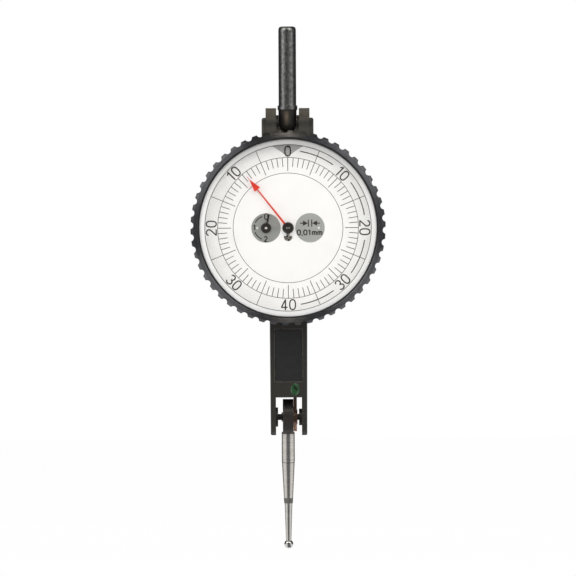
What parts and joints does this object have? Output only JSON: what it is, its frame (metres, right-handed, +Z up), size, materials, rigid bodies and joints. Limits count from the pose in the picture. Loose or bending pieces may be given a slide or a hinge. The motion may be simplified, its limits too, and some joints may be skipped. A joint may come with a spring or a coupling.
{
  "type": "dial test indicator",
  "caption": "Lever-type dial test indicator with swivelling stem, fluted rotating bezel, red pointer, turn counter and a forked neck holding a ball-tipped stylus.",
  "frame": {"origin": "on the stem's axis, on the shoulder where the collar begins", "axes": "+Z up along the stem, the dial faces -Y, +X to the right"},
  "size_m": [0.0444, 0.0245, 0.1189],
  "materials": {
    "blued_steel": "dark blasted steel",
    "dark_steel": "blackened steel",
    "black_lacquer": "matt black lacquer",
    "black_plate": "satin black anodised",
    "green_lacquer": "glossy green sealing lacquer",
    "black_anodised": "satin black anodised",
    "crystal": "clear, polished",
    "black_rubber": "matt",
    "white_dial": "satin white print ground",
    "spring_steel": "satin",
    "brass": "satin",
    "ruby": "polished",
    "red_paint": "satin",
    "bright_steel": "fine turned",
    "copper": "satin copper colour",
    "polished_carbide": "polished"
  },
  "bodies": {
    "stem": {"stem": "blued_steel"},
    "case": {"case": "black_lacquer", "clamp_screws": "dark_steel", "back_cover": "black_lacquer", "back_cover_screws": "dark_steel", "neck_cover": "black_plate", "adjusting_screw": "green_lacquer", "bezel_spring_ring": "spring_steel", "bezel_seal": "black_rubber", "centre_dial": "white_dial", "movement_plate": "brass", "plate_screws": "dark_steel", "window_screw": "dark_steel", "jewel_bearings": "ruby", "bearing_plugs": "dark_steel", "hairspring": "spring_steel", "hairspring_stud": "brass", "segment_pin": "bright_steel", "left_bush": "dark_steel", "right_bush": "dark_steel"},
    "bezel": {"bezel": "black_anodised", "crystal": "crystal", "crystal_gasket": "black_rubber", "scale_ring": "white_dial"},
    "lever": {"measuring_lever": "copper", "lever_pin": "bright_steel", "lever_axle": "dark_steel", "friction_washer": "spring_steel"},
    "stylus": {"stylus_hub": "dark_steel", "stylus": "bright_steel", "contact_ball": "polished_carbide"},
    "segment": {"segment_lever": "bright_steel"},
    "crown": {"crown_wheel": "brass", "crown_arbor": "bright_steel"},
    "pointer": {"pointer_hand": "red_paint", "pointer_hub": "dark_steel", "pointer_arbor": "bright_steel", "counter_pinion": "brass", "hairspring_collet": "brass"},
    "counter": {"counter_wheel": "brass", "counter_arbor": "bright_steel", "counter_hand": "dark_steel", "counter_hub": "dark_steel"}
  },
  "joints": [
    {"name": "stem_swivel", "type": "hinge", "parent": "stem", "child": "case", "pos_m": [0, 0, -0.00407], "axis": [1, 0, 0], "range_deg": [-75, 90]},
    {"name": "bezel_turn", "type": "hinge", "parent": "case", "child": "bezel", "pos_m": [0, -0.008, -0.02786], "axis": [0, 1, 0], "continuous": true},
    {"name": "lever_rock", "type": "hinge", "parent": "case", "child": "lever", "pos_m": [0, 0.00589, -0.0709], "axis": [-1, 0, 0], "range_deg": [0, 3.3], "stiffness_Nm_per_rad": 0.006, "springref_deg": -14.32},
    {"name": "stylus_set", "type": "hinge", "parent": "lever", "child": "stylus", "pos_m": [0, 0.00589, -0.0709], "axis": [-1, 0, 0], "range_deg": [-105, 105]},
    {"name": "segment_rock", "type": "hinge", "parent": "case", "child": "segment", "pos_m": [0, -0.00056, -0.04053], "axis": [1, 0, 0], "range_deg": [0, 12.01]},
    {"name": "crown_spin", "type": "hinge", "parent": "case", "child": "crown", "pos_m": [0, 0.0009, -0.02786], "axis": [-1, 0, 0], "range_deg": [0, 192.1]},
    {"name": "pointer_turn", "type": "hinge", "parent": "case", "child": "pointer", "pos_m": [0, -0.008, -0.02786], "axis": [0, 1, 0], "range_deg": [0, 768.5]},
    {"name": "counter_turn", "type": "hinge", "parent": "case", "child": "counter", "pos_m": [-0.005, -0.008, -0.02786], "axis": [0, 1, 0], "range_deg": [-192.1, 0]}
  ],
  "couplings": [
    {"joint": "segment_rock", "follows": "lever_rock", "ratio": 3.6385},
    {"joint": "crown_spin", "follows": "lever_rock", "ratio": 58.216},
    {"joint": "pointer_turn", "follows": "lever_rock", "ratio": 232.86},
    {"joint": "counter_turn", "follows": "lever_rock", "ratio": -58.216}
  ]
}
